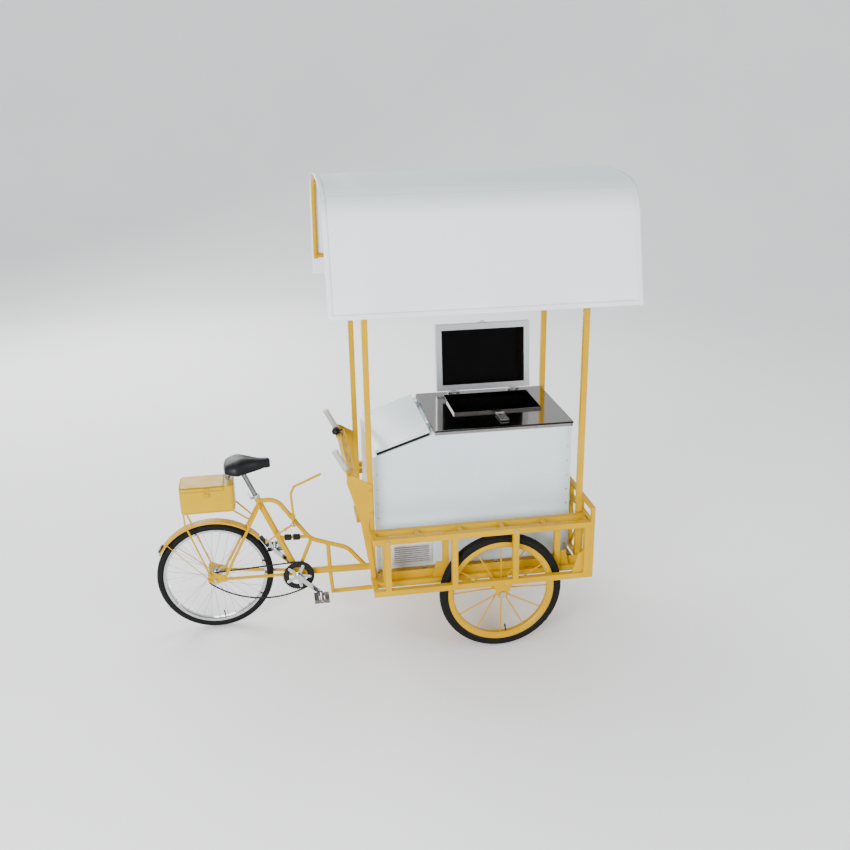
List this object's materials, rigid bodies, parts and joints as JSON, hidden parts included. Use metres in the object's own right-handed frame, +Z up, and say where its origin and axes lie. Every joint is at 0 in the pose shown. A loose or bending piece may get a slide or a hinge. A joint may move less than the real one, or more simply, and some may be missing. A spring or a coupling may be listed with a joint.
{
  "type": "pedal vending cart",
  "caption": "Pedal-driven vending cart: a cold cabinet with an open lid under an arched canopy, on a steered front platform with guard rails, pushed by the rear half of a bicycle.",
  "frame": {"origin": "on the ground, below the middle of the cart's box", "axes": "+X forward, towards the front guard; +Y to the left side; +Z up"},
  "size_m": [2.5898, 1.226, 2.5512],
  "materials": {
    "frame_paint": "gloss",
    "white_paint": "gloss",
    "stainless": "brushed",
    "zinc": "satin",
    "bright_chrome": "polished",
    "dark_steel": "satin",
    "deck_plate": "satin",
    "bronze": "satin",
    "canopy_cloth": "matte",
    "foam": "matte",
    "black_rubber": "matte",
    "grip_rubber": "matte",
    "tyre_rubber": "matte",
    "black_plastic": "satin",
    "saddle_cover": "satin",
    "red_lens": "gloss"
  },
  "bodies": {
    "platform": {"platform_frame": "frame_paint", "platform_deck": "deck_plate", "side_guard_right": "frame_paint", "side_guard_left": "frame_paint", "front_guard": "frame_paint", "front_axles": "zinc", "canopy_posts": "frame_paint", "canopy_frame": "frame_paint", "canopy_cover": "canopy_cloth", "cabinet_shell": "white_paint", "cabinet_liner": "stainless", "cabinet_insulation": "foam", "cabinet_worktop": "stainless", "slope_gasket": "black_rubber", "louvre_grille": "stainless", "compressor": "black_plastic", "condenser_coil": "dark_steel", "power_inlet": "black_plastic", "handlebar": "frame_paint", "handle_brackets": "frame_paint", "handle_grips": "grip_rubber", "bell": "dark_steel", "kingpin": "zinc", "hinge_fixed_leaves": "zinc", "frame_bolts": "zinc"},
    "bell_thumb_lever": {"bell_lever": "black_plastic"},
    "main_lid": {"main_lid_frame": "stainless", "main_lid_panel": "black_plastic", "main_lid_fittings": "zinc"},
    "hasp": {"lid_hasp": "zinc"},
    "rear_hatch": {"rear_lid": "white_paint"},
    "rear_bike": {"rear_frame": "frame_paint", "kingpin_bushes": "bronze", "strut_sleeves": "black_rubber", "toolbox_rack": "frame_paint", "toolbox_body": "frame_paint", "rear_fender": "frame_paint", "rear_reflector": "red_lens", "chain": "dark_steel", "rear_axle_bolt": "zinc", "seat_clamp": "zinc"},
    "toolbox_cover": {"toolbox_lid": "frame_paint"},
    "seat": {"seat_post": "bright_chrome", "saddle": "saddle_cover", "saddle_frame": "zinc"},
    "rear_wheel": {"rear_tyre": "tyre_rubber", "rear_rim": "bright_chrome", "rear_spokes": "zinc", "rear_hub": "bright_chrome"},
    "front_wheel_right": {"front_tyre_right": "tyre_rubber", "front_rim_right": "frame_paint"},
    "front_wheel_left": {"front_tyre_left": "tyre_rubber", "front_rim_left": "frame_paint"},
    "cranks": {"crankset": "bright_chrome", "chainring": "dark_steel"},
    "right_pedal": {"pedal_right": "black_rubber"},
    "left_pedal": {"pedal_left": "black_rubber"},
    "brake_lever": {"hand_lever": "frame_paint"},
    "brake_push_rod": {"brake_rod": "frame_paint", "brake_pad": "black_rubber"}
  },
  "joints": [
    {"name": "steering", "type": "hinge", "parent": "platform", "child": "rear_bike", "pos_m": [0.515, 0, 0.25], "axis": [0, 0, 1], "range_deg": [-25, 25]},
    {"name": "rear_wheel_spin", "type": "hinge", "parent": "rear_bike", "child": "rear_wheel", "pos_m": [-0.965, 0, 0.33], "axis": [0, 1, 0], "continuous": true},
    {"name": "front_wheel_right_spin", "type": "hinge", "parent": "platform", "child": "front_wheel_right", "pos_m": [0.6, -0.512, 0.345], "axis": [0, 1, 0], "continuous": true},
    {"name": "front_wheel_left_spin", "type": "hinge", "parent": "platform", "child": "front_wheel_left", "pos_m": [0.6, 0.512, 0.345], "axis": [0, 1, 0], "continuous": true},
    {"name": "crank_spin", "type": "hinge", "parent": "rear_bike", "child": "cranks", "pos_m": [-0.495, 0, 0.303], "axis": [0, 1, 0], "continuous": true},
    {"name": "right_pedal_spin", "type": "hinge", "parent": "cranks", "child": "right_pedal", "pos_m": [-0.37067, -0.13, 0.18706], "axis": [0, 1, 0], "continuous": true},
    {"name": "left_pedal_spin", "type": "hinge", "parent": "cranks", "child": "left_pedal", "pos_m": [-0.61933, 0.13, 0.41894], "axis": [0, 1, 0], "continuous": true},
    {"name": "brake_lever_pivot", "type": "hinge", "parent": "rear_bike", "child": "brake_lever", "pos_m": [-0.50183, -0.034, 0.67549], "axis": [0, 1, 0], "range_deg": [0, 11], "stiffness_Nm_per_rad": 4, "springref_deg": -11.46},
    {"name": "brake_rod_slide", "type": "slide", "parent": "rear_bike", "child": "brake_push_rod", "axis": [-0.8378, 0, -0.5459], "range_m": [0, 0.00724]},
    {"name": "main_lid_hinge", "type": "hinge", "parent": "platform", "child": "main_lid", "pos_m": [0.6765, 0.28, 1.254], "axis": [1, 0, 0], "range_deg": [0, 95]},
    {"name": "hasp_hinge", "type": "hinge", "parent": "platform", "child": "hasp", "pos_m": [0.6765, -0.137, 1.249], "axis": [-1, 0, 0], "range_deg": [0, 90]},
    {"name": "rear_hatch_hinge", "type": "hinge", "parent": "platform", "child": "rear_hatch", "pos_m": [0.25419, 0, 1.24449], "axis": [0, 1, 0], "range_deg": [0, 115]},
    {"name": "toolbox_lid_hinge", "type": "hinge", "parent": "rear_bike", "child": "toolbox_cover", "pos_m": [-0.993, 0.098, 0.894], "axis": [-1, 0, 0], "range_deg": [0, 110]},
    {"name": "seat_height", "type": "slide", "parent": "rear_bike", "child": "seat", "axis": [-0.3827, 0, 0.9239], "range_m": [-0.015, 0.03]},
    {"name": "bell_lever_pivot", "type": "hinge", "parent": "platform", "child": "bell_thumb_lever", "pos_m": [-0.21123, 0.253, 1.05318], "axis": [-0.5736, 0, 0.8192], "range_deg": [0, 25], "stiffness_Nm_per_rad": 0.05, "springref_deg": -5.73}
  ],
  "couplings": [
    {"joint": "brake_rod_slide", "follows": "brake_lever_pivot", "m_per_rad": 0.0377},
    {"joint": "crank_spin", "follows": "rear_wheel_spin", "ratio": 0.45454}
  ]
}
